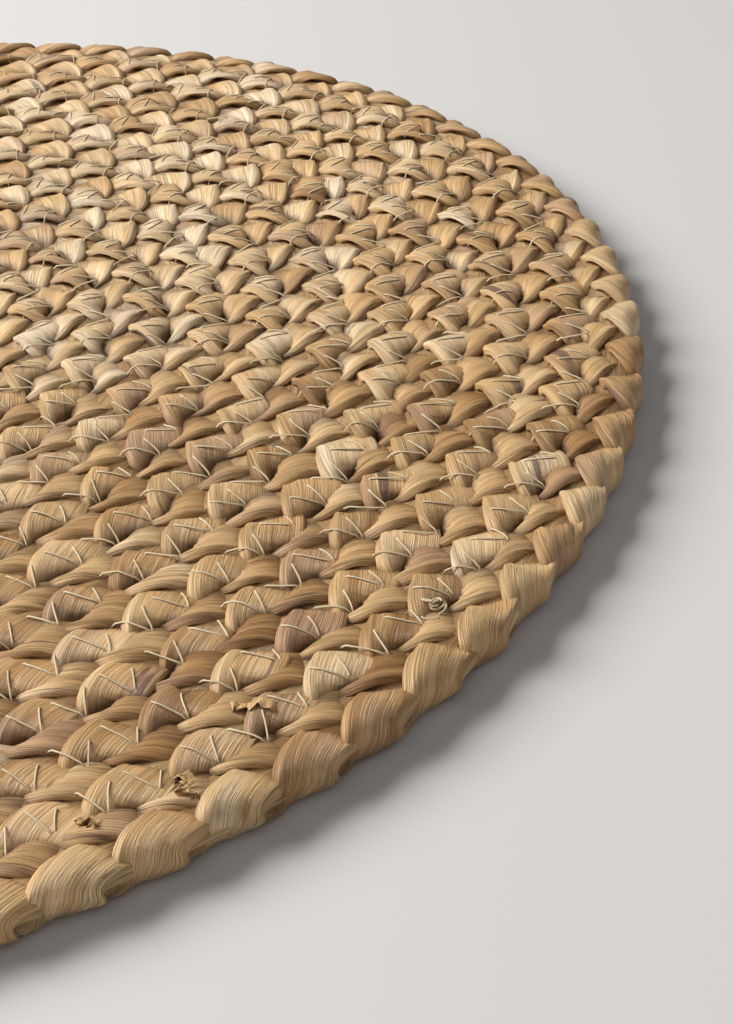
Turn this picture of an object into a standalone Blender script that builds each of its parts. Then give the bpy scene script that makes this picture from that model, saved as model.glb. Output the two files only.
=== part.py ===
"""Round placemat: one flat braid coiled from the middle outwards and sewn row to row.

Metres, +Z up. The mat lies on its underside, and the origin is the middle of the underside.
"""
import math

import bmesh
import bpy
import numpy as np
from mathutils import Vector

NAME = "round_braided_placemat"
MM = 0.001
TURN = 2 * math.pi

# Braid, in millimetres
THICKNESS = 10.0        # from the table to the crown of a row
SEAM_TOP = 7.2          # height of the groove between two rows, seen from above
SEAM_UNDER = 1.5        # height of the groove between two rows, seen from below
RIM_HEIGHT = 4.6        # height at which the rim stands out furthest
RIM_BULGE = 1.5         # how far the rim stands out past the outer row's edge
LOBE_PITCH = 13.6       # from one strand lying over the rim to the next
LOBE_RISE = 1.1         # how far such a strand stands out, and how deep the notch beside it is

# Coil, in millimetres: each row's width, from the middle out, along the line where the braid ends
ROW_WIDTHS = (9.4, 12.1, 12.6, 12.3, 12.7, 12.2, 12.5, 12.4, 12.9, 12.4, 13.6, 11.3, 12.4, 12.2, 12.8)
LAST_ROW_WIDTH = 6.5    # the outer row is pulled narrower all the way to its end
ROWS = len(ROW_WIDTHS) + 1
END_ANGLE = math.radians(225)
TAPER = 0.07            # share of a turn over which the braid's end narrows to nothing

# A row narrower than this is lower than the others
FULL_WIDTH = 8.0
# Shoulders of a row, as shares of its width
SHOULDERS_TOP = (0.3, 0.7)
SHOULDERS_UNDER = (0.22, 0.78)
# Steps around one turn: up to this row, this many
STEPS = ((3, 12), (7, 24), (ROWS, 48))
LOBE_STEPS = 5          # steps along the rim for each step of the rows

STRAW = (0.50, 0.33, 0.165, 1.0)


def edge_knots():
    """Turns of the coil, and the radius that the braid's outer edge has reached there."""
    radii = [0.0] + list(np.cumsum(ROW_WIDTHS))
    turns = list(range(ROWS))
    last = radii[-1]
    turns += [ROWS - TAPER, ROWS]
    radii += [last + LAST_ROW_WIDTH * (1 - TAPER), last]
    return turns, radii


EDGE_TURNS, EDGE_RADII = edge_knots()


def edge(turns):
    """Radius of the braid's outer edge after this many turns. It is also the next row's inner edge."""
    return float(np.interp(turns, EDGE_TURNS, EDGE_RADII))


def length_table():
    """Length of braid laid after each small step of the coil."""
    turns = np.linspace(0, ROWS, ROWS * 200 + 1)
    middle = [(edge(t) + edge(t - 1)) / 2 for t in turns]
    run = np.diff(turns) * TURN * (np.array(middle[1:]) + np.array(middle[:-1])) / 2
    return turns, np.concatenate([[0.0], np.cumsum(run)])


LENGTH_TURNS, LENGTHS = length_table()


def lobe(turns):
    """Bulge of the strand that lies over the rim here. It fades at both ends of the outer row."""
    from_end = min(turns - (ROWS - 1), ROWS - turns)
    fade = min(1.0, max(0.0, from_end / TAPER * 2))
    phase = float(np.interp(turns, LENGTH_TURNS, LENGTHS)) / LOBE_PITCH
    return LOBE_RISE * fade * math.sin(TURN * phase)


def seam_under(turns):
    """Height of the underside's groove. The middle of the mat is pressed flat."""
    return SEAM_UNDER * min(1.0, max(0.0, turns - 1))


def upper_section(turns):
    """Radius and height across a row, from its inner seam to its outer shoulder."""
    inner, outer = edge(turns - 1), edge(turns)
    width = outer - inner
    crown = SEAM_TOP + (THICKNESS - SEAM_TOP) * min(1.0, width / FULL_WIDTH)
    return [(inner, SEAM_TOP)] + [(inner + share * width, crown) for share in SHOULDERS_TOP]


def under_section(turns):
    """Radius and height across a row's underside, from its inner seam to its outer shoulder."""
    inner, outer = edge(turns - 1), edge(turns)
    width = outer - inner
    land = seam_under(turns) * (1 - min(1.0, width / FULL_WIDTH))
    return [(inner, seam_under(turns - 1))] + [(inner + share * width, land) for share in SHOULDERS_UNDER]


def rim_section(turns):
    """Radius and height down the rim of the outer row."""
    radius, bulge = edge(turns), lobe(turns)
    return [(radius + bulge / 2, SEAM_TOP),
            (radius + RIM_BULGE + bulge, RIM_HEIGHT),
            (radius + bulge / 2, seam_under(turns))]


def steps_of(row):
    """Number of steps around the given row."""
    return next(steps for last_row, steps in STEPS if row <= last_row)


def place(radius, height, turns):
    """Point in metres on the coil."""
    angle = END_ANGLE + TURN * turns
    return Vector((radius * math.cos(angle), radius * math.sin(angle), height)) * MM


def snapped(turns, steps):
    """The nearest of a row's steps."""
    return round(turns * steps) / steps


def lay_strip(bm, row, steps, section, coarse):
    """Bend a flat grid around one turn of the coil.

    section gives the radius and height across the strip. coarse gives the steps that each line of
    points keeps to, so that a finely stepped line meets its coarser neighbour point for point.
    """
    lines = len(coarse)
    made = bmesh.ops.create_grid(bm, x_segments=steps, y_segments=lines - 1, size=1)["verts"]
    for vert in made:
        line = round((vert.co.y + 1) / 2 * (lines - 1))
        turns = snapped(row - 1 + (vert.co.x + 1) / 2, coarse[line])
        radius, height = section(turns)[line]
        vert.co = place(radius, height, turns)


def seam_point(height_at):
    """A section's last point, on the row's outer seam."""
    return lambda turns: [(edge(turns), height_at(turns))]


def lay_rows(bm):
    """All rows but the outer one: an upper and a lower strip each."""
    top_seam = seam_point(lambda turns: SEAM_TOP)
    under_seam = seam_point(seam_under)
    for row in range(1, ROWS):
        steps = steps_of(row)
        inner_steps = steps_of(max(1, row - 1))
        coarse = [inner_steps, steps, steps, steps]
        lay_strip(bm, row, steps, lambda t: upper_section(t) + top_seam(t), coarse)
        lay_strip(bm, row, steps, lambda t: under_section(t) + under_seam(t), coarse)


def lay_outer_row(bm):
    """The outer row goes over its crown, down the lobed rim and back along the underside."""
    steps = steps_of(ROWS)
    fine = steps * LOBE_STEPS
    coarse = [steps] * 3 + [fine] * 3 + [steps] * 3

    def around(turns):
        return upper_section(turns) + rim_section(turns) + under_section(turns)[::-1]

    lay_strip(bm, ROWS, fine, around, coarse)


def centre_on_origin(bm):
    """Shift the mat so that its box stands centred over the origin."""
    xs = [vert.co.x for vert in bm.verts]
    ys = [vert.co.y for vert in bm.verts]
    middle = Vector(((min(xs) + max(xs)) / 2, (min(ys) + max(ys)) / 2, 0))
    bmesh.ops.translate(bm, verts=bm.verts, vec=-middle)


def straw_material():
    material = bpy.data.materials.new("straw")
    material.use_nodes = True
    shader = material.node_tree.nodes["Principled BSDF"]
    shader.inputs["Base Color"].default_value = STRAW
    shader.inputs["Roughness"].default_value = 0.62
    shader.inputs["Metallic"].default_value = 0.0
    return material


def braided_mat(collection):
    """The whole coil as one closed solid."""
    bm = bmesh.new()
    lay_rows(bm)
    lay_outer_row(bm)
    bmesh.ops.remove_doubles(bm, verts=bm.verts, dist=0.000002)
    bmesh.ops.triangulate(bm, faces=bm.faces)
    bmesh.ops.recalc_face_normals(bm, faces=bm.faces)
    centre_on_origin(bm)
    mesh = bpy.data.meshes.new("braided_mat")
    bm.to_mesh(mesh)
    bm.free()
    mesh.shade_smooth()
    mesh.set_sharp_from_angle(angle=math.radians(50))
    mesh.materials.append(straw_material())
    mat = bpy.data.objects.new("braided_mat", mesh)
    collection.objects.link(mat)
    return mat


def main():
    for old in list(bpy.data.objects):
        bpy.data.objects.remove(old, do_unlink=True)
    collection = bpy.data.collections.new(NAME)
    bpy.context.scene.collection.children.link(collection)
    braided_mat(collection)


main()
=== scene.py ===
"""Round placemat: one braid of three husk strands, coiled flat and sewn row to row.

Metres, +Z up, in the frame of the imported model. Lengths named here are in millimetres.
"""
import math

import bpy
import numpy as np
from mathutils import Matrix, Vector
from mathutils.bvhtree import BVHTree


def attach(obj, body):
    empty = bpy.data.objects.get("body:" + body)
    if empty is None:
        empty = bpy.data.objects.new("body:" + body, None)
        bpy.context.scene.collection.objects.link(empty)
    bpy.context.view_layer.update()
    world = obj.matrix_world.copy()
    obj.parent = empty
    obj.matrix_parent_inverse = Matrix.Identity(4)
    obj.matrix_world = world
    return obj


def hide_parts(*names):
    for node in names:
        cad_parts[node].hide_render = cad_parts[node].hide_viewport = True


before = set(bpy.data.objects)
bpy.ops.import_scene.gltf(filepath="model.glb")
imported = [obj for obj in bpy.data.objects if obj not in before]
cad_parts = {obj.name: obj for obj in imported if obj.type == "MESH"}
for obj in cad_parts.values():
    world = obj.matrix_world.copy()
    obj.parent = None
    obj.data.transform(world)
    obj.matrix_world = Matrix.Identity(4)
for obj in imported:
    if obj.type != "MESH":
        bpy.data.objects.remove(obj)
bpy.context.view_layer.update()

MM = 0.001
TURN = 2 * math.pi

# The coil, as the solid has it
THICKNESS = 10.0
RIM_BULGE = 1.5
LOBE_PITCH = 13.6
LOBE_RISE = 1.1
ROW_WIDTHS = (9.4, 12.1, 12.6, 12.3, 12.7, 12.2, 12.5, 12.4, 12.9, 12.4, 13.6, 11.3, 12.4, 12.2, 12.8)
LAST_ROW_WIDTH = 6.5
ROWS = len(ROW_WIDTHS) + 1
END_ANGLE = math.radians(225)
TAPER = 0.07

# A strand in the braid
STRAND_PERIOD = 3 * LOBE_PITCH   # braid length in which a strand comes back to the same side
HALF_ROW = 6.25                  # half the width of the row that these sizes are for
SWAY = 5.2                       # how far a strand's middle sways from the row's middle
SQUARING = 0.15                  # how much the sway is squared off into a zigzag
DIP = 3.05                       # how far it rises and dips as it passes over and under
LINGER = 0.22                    # how much it slows along the row while it turns round the edge
HALF_BAND = 5.3                  # half the width of a strand
HALF_THICK = 1.7                 # half the thickness of a strand
ROUNDNESS = 5.5                  # section: 2 is an ellipse, more is boxier
TURN_SOFTNESS = 1.15             # how evenly a strand turns over at the row's edge
FOLD_WIDENS = 0.04               # share by which it widens where it is folded round the edge
OUTER_WIDER = 0.08               # share by which it is wider on the row's outer half than its inner
OUTER_OVER = 0.22                # share by which it rises higher over the row's outer half
CORE_RISE = 3.1                  # half the thickness of the fibre packed inside the braid
PRESSED_TOP = 9.0                # the crowns are pressed flat from this height
PRESSED_UNDER = 0.7              # and the underside below this one

# The outer row, whose strands wrap round the rim
RIM_STARTS_OVER = 0.03           # turns over which a strand takes on the rim's shape
RIM_TUCK = 2.6                   # how far in a strand lies where it comes up under the rim
RIM_DRAWN_IN = 1.2               # how far its middle is drawn in there
RIM_LAID_OUT = 0.7               # and how far it is laid out where it wraps the rim
RIM_WIDER = 0.2                  # share by which it is wider there
RIM_SHIFT = -0.3                 # how far the outer row's edge lies past the coil's own

# Where the strands are parted into an inner and an outer length, and how finely each is made
PARTING_TURN = 11.0
INNER_FINENESS = (24, 16)        # sections in one period, points round a section
OUTER_FINENESS = (35, 22)

# Sewing
STITCH_PITCH = 9.1
THREAD_RADIUS = 0.2
SEWN_FROM = 0.9                  # turns of the coil at which the sewing starts
SHORT_ARM = (2.6, 4.6)           # a V's arms: how far along the row and how far inwards they end
LONG_ARM = (-3.6, 6.3)
VERTEX = (0, -1.1)               # the V's point lies in the outer row
TOP_SEAM = (9, 7, 3)             # samples under an arm, points along it, sides of the thread
UNDER_SEAM = (7, 5, 3)
THREAD_ENDS_DEEP = 0.9           # how far an arm's ends go down into the fibre

# Where strand ends stick out torn: place round the coil's middle, heading in degrees, half the width
# of the flap, how far it reaches, and how many points its ragged edge has
TORN_ENDS = (
    ((62.2, -154.6), 235, 3.9, 3.6, 18),
    ((48.6, -167.6), 200, 2.4, 4.6, 14),
    ((47.0, -170.6), 230, 2.0, 3.2, 12),
    ((31.0, -170.6), 225, 2.4, 2.8, 13))

# The loose knot of thread: its place, and each loop's size, stretch, tilt, turn, start and sweep
KNOT = (97.4, -143.5)
KNOT_LOOPS = (
    (0.9, 1.7, 0.5, 0.4, 0.0, 6.0),
    (0.7, 1.4, 0.8, 2.2, 1.0, 6.2),
    (1.0, 1.2, 0.3, 3.9, 2.0, 5.2),
    (2.2, 1.0, 0.15, 0.9, 2.6, 1.5),
    (2.4, 1.1, 0.2, 4.4, 0.4, 1.2))

# Husk: the colour at each tone that a strand's strips and lengths run through, and what is laid over it
HUSK_TONES = (
    (0.50, (0.26, 0.125, 0.042, 1)),
    (0.60, (0.42, 0.230, 0.088, 1)),
    (0.69, (0.58, 0.355, 0.158, 1)),
    (0.79, (0.69, 0.450, 0.216, 1)),
    (0.89, (0.79, 0.570, 0.325, 1)),
    (1.00, (0.86, 0.69, 0.48, 1)))
ROSY = (0.47, 0.285, 0.185, 1)
PURPLE_STAIN = (0.135, 0.070, 0.062, 1)
# Painted shade: the dark brown that points deep in the braid, between the strands, are darkened towards
PAINTED_SHADE_IN_BRAID = (0.10, 0.048, 0.016, 1)
CREASE_BROWN = (0.16, 0.085, 0.035, 1)
STREAK_DARKEN = (0.88, 0.85, 0.805, 1)
STREAK_LIGHTEN = (1.06, 1.065, 1.07, 1)
PALE_AND_SHEEN_PLACE = (0.085, 0.04, 0.0)  # in metres, where the strands are painted paler: partly a paler lot of husk, partly painted sheen from the light behind

# Sewing thread: its two tones, and its paler streaks
THREAD_DARKER = (0.45, 0.34, 0.20, 1)
THREAD_PALER = (0.60, 0.48, 0.31, 1)
THREAD_STREAKS = (0.66, 0.55, 0.37, 1)

# Lights: name, place and size in metres, energy, colour
LIGHTS = (
    ("window", (-0.8, 0.6, 0.95), 1.0, 39.0, (1.0, 0.985, 0.96)),
    ("fill", (0.1, -0.9, 0.9), 1.2, 3.0, (0.98, 0.99, 1.0)))

# Camera, fitted to the rim's outline: the coil's radius in metres, the camera's distance and height in
# such radii, its turns in radians, and its focal length as a share of the picture's height
FITTED_REACH = 0.187
CAMERA_DISTANCE = 2.22941
CAMERA_HEIGHT = 1.16551
CAMERA_PITCH = -0.57751
CAMERA_YAW = 0.30825
CAMERA_ROLL = -0.09269
FOCAL_SHARE = 2120.407 / 1024
SENSOR_WIDTH = 36


def edge_knots():
    """Turns of the coil, and the radius that the braid's outer edge has reached there."""
    radii = [0.0] + list(np.cumsum(ROW_WIDTHS))
    turns = list(range(ROWS))
    last = radii[-1]
    turns += [ROWS - TAPER, ROWS]
    radii += [last + LAST_ROW_WIDTH * (1 - TAPER), last]
    return turns, radii


EDGE_TURNS, EDGE_RADII = edge_knots()


def edge(turns):
    """Radius of the braid's outer edge after this many turns. It is also the next row's inner edge."""
    return np.interp(turns, EDGE_TURNS, EDGE_RADII)


def length_table():
    """Length of braid laid after each small step of the coil."""
    turns = np.linspace(0, ROWS, ROWS * 200 + 1)
    middle = (edge(turns) + edge(turns - 1)) / 2
    run = np.diff(turns) * TURN * (middle[1:] + middle[:-1]) / 2
    return turns, np.concatenate([[0.0], np.cumsum(run)])


LENGTH_TURNS, LENGTHS = length_table()


def coil_angle(turns):
    """Angle round the coil's middle after this many turns."""
    return END_ANGLE + TURN * turns


def coil_middle():
    """Where the middle of the solid's box lies, seen from the middle of the coil."""
    turns = np.arange((ROWS - 1) * 240, ROWS * 240 + 1) / 240
    fade = np.clip(np.minimum(turns - (ROWS - 1), ROWS - turns) / TAPER * 2, 0, 1)
    lobes = LOBE_RISE * fade * np.sin(TURN * np.interp(turns, LENGTH_TURNS, LENGTHS) / LOBE_PITCH)
    radii = edge(turns) + RIM_BULGE + lobes
    xs = radii * np.cos(coil_angle(turns))
    ys = radii * np.sin(coil_angle(turns))
    return np.array([(xs.min() + xs.max()) / 2, (ys.min() + ys.max()) / 2, 0.0])


MIDDLE = coil_middle()


def drift(rng, at, gap, amount):
    """A value that wanders smoothly between -amount and amount, changing every gap millimetres."""
    knots = rng.uniform(-amount, amount, int(LENGTHS[-1] / gap) + 6)
    place = at / gap + 1
    low = place.astype(int)
    share = place - low
    share = share * share * (3 - 2 * share)
    return knots[low] * (1 - share) + knots[low + 1] * share


def add_mesh(name, points, faces, material, across_along, painted_shade_depth=None):
    """A mesh object from points in millimetres round the coil's middle, and its faces.

    across_along places each face's corners on the fibre, in millimetres. The depth given last is each
    point's depth in the braid, from which the husk darkens deep points as painted shade.
    """
    mesh = bpy.data.meshes.new(name)
    mesh.vertices.add(len(points))
    mesh.vertices.foreach_set("co", ((points - MIDDLE) * MM).astype(np.float32).ravel())
    # Sections run clockwise seen along their tube, so each face is turned round to point outwards
    sides = np.array([len(face) for face in faces])[::-1]
    loops = np.concatenate(faces)[::-1]
    across_along = across_along[::-1]
    mesh.loops.add(len(loops))
    mesh.loops.foreach_set("vertex_index", loops.astype(np.int32))
    mesh.polygons.add(len(sides))
    starts = np.concatenate([[0], np.cumsum(sides)[:-1]])
    mesh.polygons.foreach_set("loop_start", starts.astype(np.int32))
    mesh.polygons.foreach_set("use_smooth", np.ones(len(sides), bool))
    mesh.update(calc_edges=True)
    layer = mesh.uv_layers.new(name="across_along")
    layer.data.foreach_set("uv", across_along.astype(np.float32).ravel())
    if painted_shade_depth is not None:
        depth = mesh.attributes.new("painted_shade_depth", "FLOAT", "POINT")
        depth.data.foreach_set("value", painted_shade_depth.astype(np.float32).ravel())
    mesh.materials.append(material)
    piece = bpy.data.objects.new(name, mesh)
    bpy.context.scene.collection.objects.link(piece)
    return piece


def tube_faces(rings, around):
    """Quads between rings of points, without the caps."""
    ring = np.arange(rings - 1)[:, None] * around
    point = np.arange(around)[None]
    following = (point + 1) % around
    further = ring + around
    quads = np.stack([ring + point, ring + following, further + following, further + point], -1)
    return quads.reshape(-1, 4)


def tube_caps(rings, around):
    """The two faces that close a tube."""
    return [np.arange(around)[::-1], np.arange(around) + (rings - 1) * around]


def corner_plan(across, along):
    """Where each quad's corners lie on the fibre, from the places across and along it of their lines."""
    u = np.stack([across[:-1], across[1:], across[1:], across[:-1]], -1)
    v = np.stack([along[:-1], along[:-1], along[1:], along[1:]], -1)
    shape = (len(v), len(u), 4)
    plan = np.stack([np.broadcast_to(u[None], shape), np.broadcast_to(v[:, None], shape)], -1)
    return plan.reshape(-1, 4, 2)


def rounded_section(around, power):
    """Across and through a flat section: shares of its half width and half thickness, round its outline."""
    round_way = np.linspace(0, TURN, around, endpoint=False)
    wide = np.sign(np.cos(round_way)) * np.abs(np.cos(round_way)) ** power
    thick = np.sign(np.sin(round_way)) * np.abs(np.sin(round_way)) ** power
    return wide, thick


def split_short(points, quads, plan):
    """Each quad parted along its shorter diagonal, so that fibre lines run smoothly over it."""
    corners = points.reshape(-1, 3)[quads]
    long_way = np.linalg.norm(corners[:, 0] - corners[:, 2], axis=1)
    other_way = np.linalg.norm(corners[:, 1] - corners[:, 3], axis=1)
    order = np.where((long_way < other_way)[:, None], [[0, 1, 2, 0, 2, 3]], [[0, 1, 3, 1, 2, 3]])
    triangles = np.take_along_axis(quads, order, 1).reshape(-1, 3)
    return triangles, np.take_along_axis(plan, order[..., None], 1).reshape(-1, 2)


def strand_lines(which, from_turn, to_turn, per_period):
    """Phase of one strand at each of its sections, and the braid length and turns that they lie at."""
    shift = TURN * which / 3 - TURN * (LOBE_PITCH / 4) / STRAND_PERIOD
    start, end = np.interp([from_turn, to_turn], LENGTH_TURNS, LENGTHS) / STRAND_PERIOD * TURN + shift
    # The inner and the outer length meet where the strand passes under another
    hidden = 0.75 * math.pi
    if from_turn > 0:
        start = hidden + TURN * round((start - hidden) / TURN)
    if to_turn < ROWS:
        end = hidden + TURN * round((end - hidden) / TURN)
    count = int((end - start) / TURN * per_period) + 1
    # Sections lie closer together where the strand turns over
    even = np.linspace(start, end, count)
    phase = even - 0.2 * np.sin(2 * even)
    length = (phase - LINGER * np.sin(2 * phase) - shift) / TURN * STRAND_PERIOD
    length = np.clip(length + drift(np.random.default_rng(5), length, 52, 2.0), 0, LENGTHS[-1])
    keep = np.concatenate([[True], np.diff(length) > 0])
    phase, length = phase[keep], length[keep]
    return phase, length, np.interp(length, LENGTHS, LENGTH_TURNS)


def build_strand(name, which, from_turn, to_turn, fineness, material):
    """One strand of the braid, lofted along its way over and under the two others."""
    per_period, around = fineness
    phase, length, turns = strand_lines(which, from_turn, to_turn, per_period)
    rng = np.random.default_rng(40 + which * 10 + int(from_turn > 0))
    inner, outer = edge(turns - 1), edge(turns)
    outer = outer + RIM_SHIFT * np.clip((turns - (ROWS - 1)) / 0.02, 0, 1)
    half = (outer - inner) / 2
    size = np.maximum(half / HALF_ROW, 0.34)
    side = np.cos(phase)
    outer_row = np.clip((turns - (ROWS - 1)) / RIM_STARTS_OVER, 0, 1)
    tuck = outer_row * np.where(side > 0, np.maximum(0, -np.sin(2 * phase)), 0)

    zigzag = side - SQUARING * np.cos(3 * phase)
    sway = SWAY * half / HALF_ROW * zigzag + drift(rng, length, 13, 0.45) * size
    sway = sway - RIM_DRAWN_IN * tuck + RIM_LAID_OUT * outer_row * np.maximum(0, side) ** 2
    rise = DIP * np.sin(2 * phase) * np.minimum(size * 1.15, 1)
    rise = rise * (1 + OUTER_OVER * side) + drift(rng, length, 15, 0.22)
    angle = coil_angle(turns)
    outwards = np.stack([np.cos(angle), np.sin(angle), 0 * angle], -1)
    upwards = np.array([0, 0, 1.0])
    middle = ((inner + outer) / 2 + sway)[:, None] * outwards + (THICKNESS / 2 + rise)[:, None] * upwards
    ahead = np.gradient(middle, axis=0)
    ahead /= np.linalg.norm(ahead, axis=1)[:, None]
    turned = math.pi / 2 * np.tanh(TURN_SOFTNESS * np.sin(phase)) / math.tanh(TURN_SOFTNESS)
    turned = turned + drift(rng, length, 17, 0.12)
    facing = np.cos(turned)[:, None] * outwards + np.sin(turned)[:, None] * upwards
    facing = facing - (facing * ahead).sum(1)[:, None] * ahead
    facing /= np.linalg.norm(facing, axis=1)[:, None]
    across = np.cross(ahead, facing)

    half_band = HALF_BAND * size * (1 + FOLD_WIDENS * np.abs(side) ** 3 + OUTER_WIDER * side)
    half_band = half_band * (1 + drift(rng, length, 20, 0.09))
    half_band = half_band * (1 + RIM_WIDER * outer_row * np.maximum(0, side) ** 4)
    half_thick = HALF_THICK * (0.5 + 0.5 * size) * (1 + drift(rng, length, 16, 0.10))

    wide, thick = rounded_section(around, 2 / ROUNDNESS)
    relief = pleats(rng, length, wide, thick) * size[:, None]

    points = middle[:, None] + (half_band[:, None] * wide)[..., None] * across[:, None]
    points = points + ((half_thick[:, None] + relief) * thick)[..., None] * facing[:, None]
    points = eased(pressed(points, turns, RIM_TUCK * np.sqrt(tuck)))
    # Each point's depth in the braid, which the husk turns into painted shade
    painted_shade_depth = depth_in_braid(points, turns)

    rings = len(phase)
    quads = tube_faces(rings, around)
    walk = np.concatenate([[0], np.cumsum(np.linalg.norm(np.diff(middle, axis=0), axis=1))])
    walk = walk + float(length[0]) * 1.4
    outline = np.stack([wide * HALF_BAND, thick * HALF_THICK], -1)
    outline = np.concatenate([outline, outline[:1]])
    girth = np.concatenate([[0], np.cumsum(np.hypot(*np.diff(outline, axis=0).T))]) + 500 * (which + 1)
    triangles, plan = split_short(points, quads, corner_plan(girth, walk))
    ends = [np.stack([girth[:around][::-1], np.full(around, walk[0])], -1),
            np.stack([girth[:around], np.full(around, walk[-1])], -1)]
    plan = np.concatenate([plan] + ends)
    faces = list(triangles) + tube_caps(rings, around)
    return add_mesh(name, points.reshape(-1, 3), faces, material, plan, painted_shade_depth), points, quads


def soft_limit(value, limit, give):
    """The value, eased so that it never passes limit by more than give."""
    past = np.maximum(value - limit, 0)
    return np.where(value > limit, limit + give * (1 - np.exp(-past / give)), value)


def pressed(points, turns, tuck):
    """The points as they lie once the mat is pressed flat above and below and its rim is even."""
    points = points.copy()
    points[..., 2] = soft_limit(points[..., 2], PRESSED_TOP, 1.2)
    points[..., 2] = -soft_limit(-points[..., 2], -PRESSED_UNDER, PRESSED_UNDER)
    reach = np.hypot(points[..., 0], points[..., 1])
    limit = np.where(turns > ROWS - 1, edge(turns) + RIM_SHIFT + 0.1 - tuck, 1000)[:, None]
    points[..., :2] *= (soft_limit(reach, limit, 1.3) / reach)[..., None]
    return points


def eased(points):
    """The same sections with small wiggles from one to the next taken out."""
    points = points.copy()
    for times in range(2):
        points[1:-1] = (points[:-2] + 2 * points[1:-1] + points[2:]) / 4
    return points


def depth_in_braid(points, turns):
    """How deep each point lies below the mat's smooth outside, in millimetres. The husk darkens deep points
    by it as painted shade.
    """
    reach = np.hypot(points[..., 0], points[..., 1])
    rim = np.where(turns > ROWS - 1, edge(turns) + RIM_SHIFT + 1.0, 1000)[:, None]
    return np.maximum(0, np.minimum(THICKNESS / 2 - np.abs(points[..., 2] - THICKNESS / 2), rim - reach))


def build_core(name, material):
    """The fibre packed inside the braid, seen only deep in the notches between strands, where the husk
    darkens it as painted shade.
    """
    count, around = 1400, 8
    length = np.linspace(0, LENGTHS[-1], count)
    turns = np.interp(length, LENGTHS, LENGTH_TURNS)
    inner, outer = edge(turns - 1), edge(turns)
    wide, thick = rounded_section(around, 0.8)
    half = np.maximum((outer - inner) / 2 - 0.4, 0.5)
    reach = ((inner + outer) / 2)[:, None] + half[:, None] * wide[None]
    height = THICKNESS / 2 + CORE_RISE * np.minimum(half / 4, 1)[:, None] * thick[None]
    angle = coil_angle(turns)[:, None]
    points = np.stack([reach * np.cos(angle), reach * np.sin(angle), height], -1)
    # Each point's depth in the braid, which the husk turns into painted shade
    painted_shade_depth = depth_in_braid(points, turns)
    faces = list(tube_faces(count, around)) + tube_caps(count, around)
    plan = corner_plan(np.arange(around + 1) * 2.6, length).reshape(-1, 2)
    plan = np.concatenate([plan, np.zeros((2 * around, 2))])
    return add_mesh(name, points.reshape(-1, 3), faces, material, plan, painted_shade_depth)


def pleats(rng, length, wide, thick):
    """Lengthways folds of a strand: soft ridges, and a few deeper creases that part it into strips."""
    relief = np.zeros((len(length), len(wide)))
    upper = thick >= 0
    for face in (upper, ~upper):
        part = np.zeros_like(relief)
        for ridge in range(4):
            spacing = rng.uniform(2.5, 6.5)
            slide = drift(rng, length, 30, 1.6) + rng.uniform(0, TURN)
            part += 0.07 * np.abs(np.sin(spacing * wide[None] + slide[:, None]))
        for crease in range(4):
            place = -0.75 + 0.5 * crease + rng.uniform(-0.15, 0.15) + drift(rng, length, 24, 0.24)
            depth = np.maximum(0, 0.26 + drift(rng, length, 19, 0.5))
            part -= depth[:, None] * np.exp(-((wide[None] - place[:, None]) / 0.13) ** 2)
        for overlap in range(2):
            place = drift(rng, length, 14, 0.95)
            step = drift(rng, length, 21, 0.32)
            part += step[:, None] * np.tanh((wide[None] - place[:, None]) / 0.07)
        relief = np.where(face[None], part, relief)
    return relief - 0.12


def new_material(name):
    """A material with its node tree and its shader."""
    material = bpy.data.materials.new(name)
    material.use_nodes = True
    shader = material.node_tree.nodes["Principled BSDF"]
    return material, material.node_tree, shader


def put(tree, kind, x, y, **settings):
    """A node at a place in the tree, with its settings."""
    made = tree.nodes.new(kind)
    made.location = (x, y)
    for setting, value in settings.items():
        setattr(made, setting, value)
    return made


def maths(tree, operation, x, y, first, second=None, third=None):
    """A Math node fed by sockets or plain numbers. Gives its output."""
    made = put(tree, "ShaderNodeMath", x, y, operation=operation)
    for index, value in enumerate((first, second, third)):
        if value is None:
            continue
        if isinstance(value, (int, float)):
            made.inputs[index].default_value = value
        else:
            tree.links.new(value, made.inputs[index])
    return made.outputs[0]


def stretched_noise(tree, x, y, vector, scale, detail=2.0, roughness=0.5):
    """Noise drawn out along the fibre: scale is how many changes to a millimetre across and along."""
    mapping = put(tree, "ShaderNodeMapping", x, y)
    mapping.inputs["Scale"].default_value = (scale[0], scale[1], 1)
    tree.links.new(vector, mapping.inputs["Vector"])
    noise = put(tree, "ShaderNodeTexNoise", x + 200, y, noise_dimensions="2D")
    noise.inputs["Scale"].default_value = 1.0
    noise.inputs["Detail"].default_value = detail
    noise.inputs["Roughness"].default_value = roughness
    tree.links.new(mapping.outputs["Vector"], noise.inputs["Vector"])
    return noise.outputs["Fac"]


def remap(tree, x, y, value, low, high, to_low=0.0, to_high=1.0):
    """A smooth step of a value between low and high. Gives its output."""
    made = put(tree, "ShaderNodeMapRange", x, y, interpolation_type="SMOOTHSTEP")
    tree.links.new(value, made.inputs["Value"])
    made.inputs["From Min"].default_value = low
    made.inputs["From Max"].default_value = high
    made.inputs["To Min"].default_value = to_low
    made.inputs["To Max"].default_value = to_high
    return made.outputs["Result"]


def blend_colours(tree, x, y, share, first, second, kind="MIX"):
    """A colour mix. share, first and second are sockets or plain values. Gives its output."""
    made = put(tree, "ShaderNodeMix", x, y, data_type="RGBA", blend_type=kind)
    for index, value in ((0, share), (6, first), (7, second)):
        if isinstance(value, (int, float, tuple)):
            made.inputs[index].default_value = value
        else:
            tree.links.new(value, made.inputs[index])
    return made.outputs[2]


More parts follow.
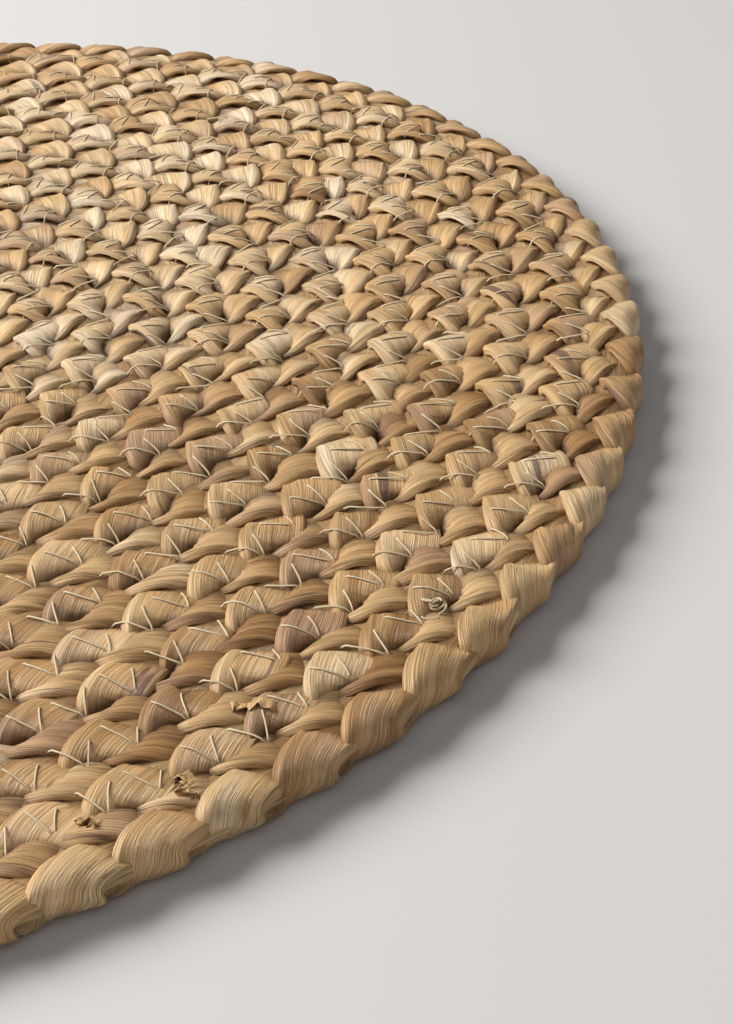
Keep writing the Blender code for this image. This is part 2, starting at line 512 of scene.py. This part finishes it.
def fibre_group():
    """Fine lengthways fibres of dried leaf or thread: streaks, dark creases and the relief of both."""
    group = bpy.data.node_groups.new("fibre_striation", "ShaderNodeTree")
    group.interface.new_socket("Across and along", in_out="INPUT", socket_type="NodeSocketVector")
    group.interface.new_socket("Streaks", in_out="OUTPUT", socket_type="NodeSocketFloat")
    group.interface.new_socket("Creases", in_out="OUTPUT", socket_type="NodeSocketFloat")
    group.interface.new_socket("Relief", in_out="OUTPUT", socket_type="NodeSocketFloat")
    start = put(group, "NodeGroupInput", -1200, 0)
    end = put(group, "NodeGroupOutput", 900, 0)
    way = start.outputs[0]
    wander = stretched_noise(group, -1500, -300, way, (0.09, 0.05), 1.0, 0.5)
    shifted = put(group, "ShaderNodeVectorMath", -1100, -100, operation="MULTIPLY_ADD")
    group.links.new(wander, shifted.inputs[0])
    shifted.inputs[1].default_value = (1.6, 0, 0)
    group.links.new(way, shifted.inputs[2])
    way = shifted.outputs["Vector"]
    fine = stretched_noise(group, -900, 300, way, (3.6, 0.07), 2.0, 0.6)
    broad = stretched_noise(group, -900, 0, way, (0.8, 0.03), 1.0, 0.5)
    split = stretched_noise(group, -900, -300, way, (1.5, 0.03), 1.0, 0.4)
    hair = stretched_noise(group, -900, -900, way, (3.0, 0.07), 1.0, 0.5)
    both = maths(group, "MULTIPLY", -600, 300, fine, 0.8)
    both = maths(group, "MULTIPLY_ADD", -400, 200, broad, 0.3, both)
    streaks = remap(group, -200, 200, both, 0.40, 0.70)
    from_line = maths(group, "ABSOLUTE", -400, -300, maths(group, "SUBTRACT", -600, -300, split, 0.5))
    creases = remap(group, -200, -300, from_line, 0.0, 0.03, 1.0, 0.0)
    patchy = stretched_noise(group, -900, -600, way, (0.25, 0.03), 1.0, 0.5)
    creases = maths(group, "MULTIPLY", 0, -300, creases, remap(group, -200, -600, patchy, 0.44, 0.6))
    from_hair = maths(group, "ABSOLUTE", -400, -900, maths(group, "SUBTRACT", -600, -900, hair, 0.5))
    hairs = remap(group, -200, -900, from_hair, 0.0, 0.05, 0.52, 0.0)
    creases = maths(group, "MAXIMUM", 100, -500, creases, hairs)
    sunk = maths(group, "MULTIPLY", 0, -100, creases, -0.17)
    relief = maths(group, "MULTIPLY_ADD", 200, 0, both, 0.22, sunk)
    group.links.new(streaks, end.inputs["Streaks"])
    group.links.new(creases, end.inputs["Creases"])
    group.links.new(relief, end.inputs["Relief"])
    return group


def husk_material(fibres):
    """Dried husk: satin straw and tan strips, each length of strand in its own tone, with painted shade
    deep in the braid and painted sheen round one place.
    """
    material, tree, shader = new_material("husk")
    plan = put(tree, "ShaderNodeUVMap", -1900, 0, uv_map="across_along").outputs["UV"]
    grain = put(tree, "ShaderNodeGroup", -900, 500, node_tree=fibres)
    tree.links.new(plan, grain.inputs[0])
    lobes = stretched_noise(tree, -1600, 200, plan, (0.02, 0.034), 1.0, 0.5)
    strips = stretched_noise(tree, -1600, -100, plan, (0.42, 0.016), 2.0, 0.55)
    lengths = stretched_noise(tree, -1600, -400, plan, (0.01, 0.008), 1.0, 0.5)
    tone = maths(tree, "MULTIPLY_ADD", -1200, 200, lobes, 0.52, 0.07)
    tone = maths(tree, "MULTIPLY_ADD", -1000, 100, strips, 0.34, tone)
    tone = maths(tree, "MULTIPLY_ADD", -800, 100, lengths, 0.44, tone)
    # The strands round one place on the mat are painted paler: partly a paler lot of husk, partly painted
    # sheen where the light from behind glances off them
    from_pale = put(tree, "ShaderNodeVectorMath", -1200, 900, operation="DISTANCE")
    tree.links.new(put(tree, "ShaderNodeTexCoord", -1400, 900).outputs["Object"], from_pale.inputs[0])
    from_pale.inputs[1].default_value = PALE_AND_SHEEN_PLACE
    pale = remap(tree, -1000, 900, from_pale.outputs["Value"], 0.04, 0.14, 0.15, 0.0)
    tone = maths(tree, "ADD", -700, 300, tone, pale)
    ramp = put(tree, "ShaderNodeValToRGB", -600, 100)
    tree.links.new(tone, ramp.inputs["Fac"])
    stops = ramp.color_ramp.elements
    for stop, (place, colour) in zip(stops, (HUSK_TONES[0], HUSK_TONES[-1])):
        stop.position = place
        stop.color = colour
    for place, colour in HUSK_TONES[1:-1]:
        stops.new(place).color = colour
    colour = ramp.outputs["Color"]
    rosy = stretched_noise(tree, -1600, -700, plan, (0.05, 0.018), 2.0, 0.5)
    rosy = remap(tree, -1200, -700, rosy, 0.54, 0.70, 0.0, 0.55)
    colour = blend_colours(tree, -300, 0, rosy, colour, ROSY)
    stain = stretched_noise(tree, -1600, -1000, plan, (0.16, 0.035), 2.0, 0.6)
    stain = remap(tree, -1200, -1000, stain, 0.69, 0.76, 0.0, 0.8)
    colour = blend_colours(tree, -100, 0, stain, colour, PURPLE_STAIN)
    streaked = blend_colours(tree, -100, 300, grain.outputs["Streaks"], STREAK_DARKEN, STREAK_LIGHTEN)
    colour = blend_colours(tree, 100, 100, 1.0, colour, streaked, "MULTIPLY")
    # Painted shade: points deep in the braid, between the strands, are darkened towards a dark brown
    painted_shade_depth = put(tree, "ShaderNodeAttribute", -700, 800, attribute_name="painted_shade_depth").outputs["Fac"]
    shade = remap(tree, -500, 800, painted_shade_depth, 1.1, 3.0, 0.0, 0.82)
    colour = blend_colours(tree, 200, 300, shade, colour, PAINTED_SHADE_IN_BRAID)
    creased = maths(tree, "MULTIPLY", 100, 400, grain.outputs["Creases"], 0.55)
    colour = blend_colours(tree, 300, 100, creased, colour, CREASE_BROWN)
    tree.links.new(colour, shader.inputs["Base Color"])
    rough = remap(tree, 100, -300, grain.outputs["Streaks"], 0.0, 1.0, 0.56, 0.40)
    tree.links.new(rough, shader.inputs["Roughness"])
    bump = put(tree, "ShaderNodeBump", 100, -600)
    bump.inputs["Strength"].default_value = 1.0
    bump.inputs["Distance"].default_value = 0.0011
    tree.links.new(grain.outputs["Relief"], bump.inputs["Height"])
    tree.links.new(bump.outputs["Normal"], shader.inputs["Normal"])
    shader.inputs["Specular IOR Level"].default_value = 0.45
    return material


def thread_material(fibres):
    """Pale cream sewing thread, lightly twisted."""
    material, tree, shader = new_material("thread")
    plan = put(tree, "ShaderNodeUVMap", -1500, 0, uv_map="across_along").outputs["UV"]
    grain = put(tree, "ShaderNodeGroup", -900, 0, node_tree=fibres)
    tree.links.new(plan, grain.inputs[0])
    tone = stretched_noise(tree, -1200, 300, plan, (0.02, 0.05), 1.0, 0.5)
    paler = remap(tree, -800, 300, tone, 0.3, 0.7)
    colour = blend_colours(tree, -500, 300, paler, THREAD_DARKER, THREAD_PALER)
    colour = blend_colours(tree, -200, 200, grain.outputs["Streaks"], colour, THREAD_STREAKS)
    tree.links.new(colour, shader.inputs["Base Color"])
    rough = remap(tree, -500, -200, grain.outputs["Streaks"], 0.0, 1.0, 0.8, 0.65)
    tree.links.new(rough, shader.inputs["Roughness"])
    bump = put(tree, "ShaderNodeBump", -400, -500)
    bump.inputs["Strength"].default_value = 0.6
    bump.inputs["Distance"].default_value = 0.0003
    tree.links.new(grain.outputs["Relief"], bump.inputs["Height"])
    tree.links.new(bump.outputs["Normal"], shader.inputs["Normal"])
    return material


def stitch_holes(rng, under):
    """For each V stitch on a seam: the vertex on the outer row, and the two holes in the inner row."""
    turns = np.linspace(SEWN_FROM, ROWS - 1, 20000)
    radii = edge(turns)
    walk = np.concatenate([[0], np.cumsum(np.diff(turns) * TURN * (radii[1:] + radii[:-1]) / 2)])
    steps = STITCH_PITCH * (1 + rng.uniform(-0.09, 0.09, 1400))
    places = np.cumsum(steps)
    places = places[places < walk[-1] - 4]
    at = np.interp(places, walk, turns)
    radius = edge(at)
    count = len(at)
    shrink = np.clip(radius / 40, 0.45, 1)

    def spot(along, inward):
        along = (along + rng.normal(0, 0.3, count)) * shrink
        inward = (inward + rng.normal(0, 0.35, count)) * shrink
        reach = radius - inward
        return np.stack([reach, coil_angle(at) + along / radius], -1)

    lean = -1 if under else 1
    return [spot(along * lean, inward) for along, inward in (VERTEX, SHORT_ARM, LONG_ARM)]


def lay_arms(surface, first, second, samples, points, under, rng):
    """Lines of thread, one for each pair of holes, pulled taut over the fibre between them.

    The surface is felt at so many samples along an arm, and the thread is bent at so many points.
    """
    share = np.linspace(0, 1, samples)
    reach = first[:, :1] + (second[:, :1] - first[:, :1]) * share
    angle = first[:, 1:] + (second[:, 1:] - first[:, 1:]) * share
    bow = rng.normal(0, 0.36, len(first))[:, None] * np.sin(math.pi * share)[None]
    xs = (reach + bow) * np.cos(angle)
    ys = (reach + bow) * np.sin(angle)
    sign = -1 if under else 1
    heights = taut(height_of(surface, xs, ys, under) * sign, share) * sign
    keep = np.linspace(0, samples - 1, points)
    low = keep.astype(int).clip(0, samples - 2)
    part = keep - low
    lines = [values[:, low] * (1 - part) + values[:, low + 1] * part for values in (xs, ys, heights)]
    lines = np.stack(lines, -1)
    lines[..., 2] += sign * THREAD_RADIUS * 0.75
    lines[:, [0, -1], 2] -= sign * THREAD_ENDS_DEEP
    lines[..., 2] = np.maximum(lines[..., 2], THREAD_RADIUS)
    return lines


def taut(heights, share):
    """The line that a taut thread takes over each row of heights: no lower than any chord of them."""
    result = heights.copy()
    count = len(share)
    for first in range(count):
        for second in range(first + 2, count):
            part = (share[first + 1:second] - share[first]) / (share[second] - share[first])
            chord = heights[:, first:first + 1] * (1 - part) + heights[:, second:second + 1] * part
            result[:, first + 1:second] = np.maximum(result[:, first + 1:second], chord)
    return result


def height_of(surface, xs, ys, under=False):
    """Height of the mat's upper face, or of its underside, at each place."""
    heights = np.zeros_like(xs)
    start = -5.0 if under else 20.0
    way = Vector((0, 0, 1 if under else -1))
    for index in np.ndindex(xs.shape):
        hit = surface.ray_cast(Vector((xs[index], ys[index], start)), way)
        heights[index] = hit[0].z if hit[0] is not None else THICKNESS / 2
    return heights


def thread_mesh(name, lines, sides, material):
    """Thin tubes along many lines of points, joined as one mesh."""
    count, rings = lines.shape[:2]
    ahead = np.gradient(lines, axis=1)
    ahead /= np.linalg.norm(ahead, axis=2)[..., None]
    beside = np.cross(ahead, np.array([0, 0, 1.0]))
    beside /= np.linalg.norm(beside, axis=2)[..., None]
    above = np.cross(beside, ahead)
    way = np.linspace(0, TURN, sides, endpoint=False) + math.pi / sides
    round_way = (np.cos(way)[None, None, :, None] * beside[:, :, None]
                 + np.sin(way)[None, None, :, None] * above[:, :, None])
    points = lines[:, :, None] + THREAD_RADIUS * round_way
    quads = tube_faces(rings, sides)
    offsets = np.arange(count)[:, None, None] * rings * sides
    body = (quads[None] + offsets).reshape(-1, 4)
    caps = (np.stack(tube_caps(rings, sides))[None] + offsets).reshape(-1, sides)
    steps = np.linalg.norm(np.diff(lines, axis=1), axis=2)
    walk = np.concatenate([np.zeros((count, 1)), np.cumsum(steps, axis=1)], 1)
    walk = walk + np.arange(count)[:, None] * 23.0
    column = np.arange(sides) * 0.4
    u = np.stack([column, column + 0.4, column + 0.4, column], -1)
    u = np.broadcast_to(u[None, None], (count, rings - 1, sides, 4))
    v = np.stack([walk[:, :-1], walk[:, :-1], walk[:, 1:], walk[:, 1:]], -1)[:, :, None]
    v = np.broadcast_to(v, (count, rings - 1, sides, 4))
    plan = np.concatenate([np.stack([u, v], -1).reshape(-1, 2), np.zeros((caps.size, 2))])
    faces = list(body) + list(caps)
    return add_mesh(name, points.reshape(-1, 3), faces, material, plan)


def sew(surface, material):
    """V stitches along every seam, above and below."""
    pieces = []
    for name, under, made in (("thread_top", False, TOP_SEAM), ("thread_under", True, UNDER_SEAM)):
        samples, points, sides = made
        rng = np.random.default_rng(9 + int(under))
        vertex, short, long = stitch_holes(rng, under)
        arms = [lay_arms(surface, vertex, end, samples, points, under, rng) for end in (short, long)]
        pieces.append(thread_mesh(name, np.concatenate(arms), sides, material))
    return pieces


def tear_strands(surface, material):
    """Torn strand ends: thin crumpled flaps with a ragged edge that lift off the braid."""
    rng = np.random.default_rng(31)
    sections = 8
    share = np.linspace(0, 1, sections)
    points, quads, caps, plan = [], [], [], []
    total = 0
    for place, heading, half_width, reach, count in TORN_ENDS:
        heading = math.radians(heading)
        across = half_width * np.linspace(-1, 1, count)[:, None]
        across = across + rng.normal(0, 0.12, (count, sections)) * share
        long = reach * rng.uniform(0.45, 1.15, (count, 1)) * share
        xs = place[0] - across * math.sin(heading) + long * math.cos(heading)
        ys = place[1] + across * math.cos(heading) + long * math.sin(heading)
        base = taut(height_of(surface, xs, ys), share)
        for times in range(4):
            base[1:-1] = np.maximum(base[1:-1], (base[:-2] + base[2:]) / 2)
        crumple = rng.normal(0, 0.12, (count, sections)) * np.sqrt(share)
        lift = 0.45 + 0.35 * np.sin(np.arange(count) * 1.3)[:, None]
        heights = base + 0.1 + crumple + lift * share ** 1.5
        heights[:, 0] = base[:, 0] - 0.5
        heights[[0, -1]] -= 0.35
        upper = np.stack([xs, ys, np.minimum(heights, 10.9)], -1).transpose(1, 0, 2)
        lower = upper - np.array([0, 0, 0.22])
        points.append(np.concatenate([upper, lower[:, ::-1]], 1).reshape(-1, 3))
        around = 2 * count
        quads.append(tube_faces(sections, around) + total)
        caps += [cap + total for cap in tube_caps(sections, around)]
        u = np.concatenate([across[:, 0], across[::-1, 0], across[:1, 0]]) + 3300 + 10 * heading
        plan.append(corner_plan(u, reach * share + 70 * heading).reshape(-1, 2))
        total += sections * around
    faces = list(np.concatenate(quads)) + caps
    plan = np.concatenate(plan + [np.zeros((sum(len(cap) for cap in caps), 2))])
    return add_mesh("torn_ends", np.concatenate(points), faces, material, plan, np.zeros(total))


def knot_thread(surface, material):
    """The end of the sewing thread, knotted with small loops left loose."""
    share = np.linspace(0, 1, 13)
    lines = []
    for radius, stretch, tilt, turned, start, sweep in KNOT_LOOPS:
        angle = start + sweep * share
        along = radius * stretch * np.cos(angle)
        aside = radius * np.sin(angle) * math.cos(tilt)
        xs = KNOT[0] + 0.9 * math.sin(5 * turned) + along * math.cos(turned) - aside * math.sin(turned)
        ys = KNOT[1] + 0.9 * math.cos(3 * turned) + along * math.sin(turned) + aside * math.cos(turned)
        top = height_of(surface, xs, ys).max()
        heights = top - 0.1 + radius * (1 + np.sin(angle)) * math.sin(tilt) * 0.5
        lines.append(np.stack([xs, ys, np.minimum(heights, 10.8)], -1))
    return thread_mesh("thread_knot", np.array(lines), 6, material)


def floor_and_light():
    """A plain pale floor, soft window light from the back left and a weak fill from the front."""
    bpy.ops.object.select_all(action="DESELECT")
    bpy.ops.mesh.primitive_plane_add(size=8)
    floor = bpy.context.object
    floor.name = "floor"
    material, tree, shader = new_material("pale_floor")
    shader.inputs["Base Color"].default_value = (0.560, 0.547, 0.541, 1)
    shader.inputs["Roughness"].default_value = 0.75
    floor.data.materials.append(material)
    for name, place, size, energy, colour in LIGHTS:
        light = bpy.data.lights.new(name, "AREA")
        light.energy = energy
        light.size = size
        light.color = colour
        lamp = bpy.data.objects.new(name, light)
        bpy.context.scene.collection.objects.link(lamp)
        lamp.location = place
        lamp.rotation_euler = (-Vector(place)).to_track_quat("-Z", "Y").to_euler()
    world = bpy.data.worlds.new("studio")
    bpy.context.scene.world = world
    world.use_nodes = True
    world.node_tree.nodes["Background"].inputs[0].default_value = (1.0, 0.99, 0.975, 1)
    world.node_tree.nodes["Background"].inputs[1].default_value = 0.16
    bpy.context.scene.view_settings.view_transform = "Standard"


def photo_camera():
    """The camera at the photograph's angle, placed from the coil's middle."""
    flat = math.cos(CAMERA_PITCH)
    ahead = Vector((math.sin(CAMERA_YAW) * flat, math.cos(CAMERA_YAW) * flat, math.sin(CAMERA_PITCH)))
    level = Vector((math.cos(CAMERA_YAW), -math.sin(CAMERA_YAW), 0))
    upright = level.cross(ahead)
    right = level * math.cos(CAMERA_ROLL) + upright * math.sin(CAMERA_ROLL)
    up = upright * math.cos(CAMERA_ROLL) - level * math.sin(CAMERA_ROLL)
    place = Vector((0, -CAMERA_DISTANCE, CAMERA_HEIGHT)) * FITTED_REACH - Vector(MIDDLE * MM)
    camera = bpy.data.objects.new("camera", bpy.data.cameras.new("camera"))
    bpy.context.scene.collection.objects.link(camera)
    rows = [[right[i], up[i], -ahead[i], place[i]] for i in range(3)]
    camera.matrix_world = Matrix(rows + [[0, 0, 0, 1]])
    camera.data.sensor_width = SENSOR_WIDTH
    camera.data.lens = FOCAL_SHARE * SENSOR_WIDTH
    bpy.context.scene.camera = camera


def braid_strands(husk):
    """The three strands, each in an inner and an outer length, and their surface to lay the thread on."""
    pieces = []
    all_points = []
    all_quads = []
    total = 0
    for which, word in enumerate(("first", "second", "third")):
        for part, span, fineness in (("inner", (0, PARTING_TURN), INNER_FINENESS),
                                     ("outer", (PARTING_TURN, ROWS), OUTER_FINENESS)):
            piece, points, quads = build_strand(f"strand_{word}_{part}", which, *span, fineness, husk)
            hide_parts("braided_mat")
            pieces.append(piece)
            all_points.append(points.reshape(-1, 3))
            all_quads.append(quads + total)
            total += len(all_points[-1])
    surface = BVHTree.FromPolygons(np.concatenate(all_points).tolist(), np.concatenate(all_quads).tolist())
    return pieces, surface


def main():
    """Builds the whole mat, its floor, light and camera."""
    photo_camera()
    floor_and_light()
    fibres = fibre_group()
    husk = husk_material(fibres)
    thread = thread_material(fibres)
    pieces, surface = braid_strands(husk)
    core = build_core("inner_fibre", husk)
    pieces.append(core)
    pieces += sew(surface, thread)
    torn = tear_strands(surface, husk)
    pieces.append(torn)
    pieces.append(knot_thread(surface, thread))
    for piece in pieces:
        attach(piece, "root")


main()
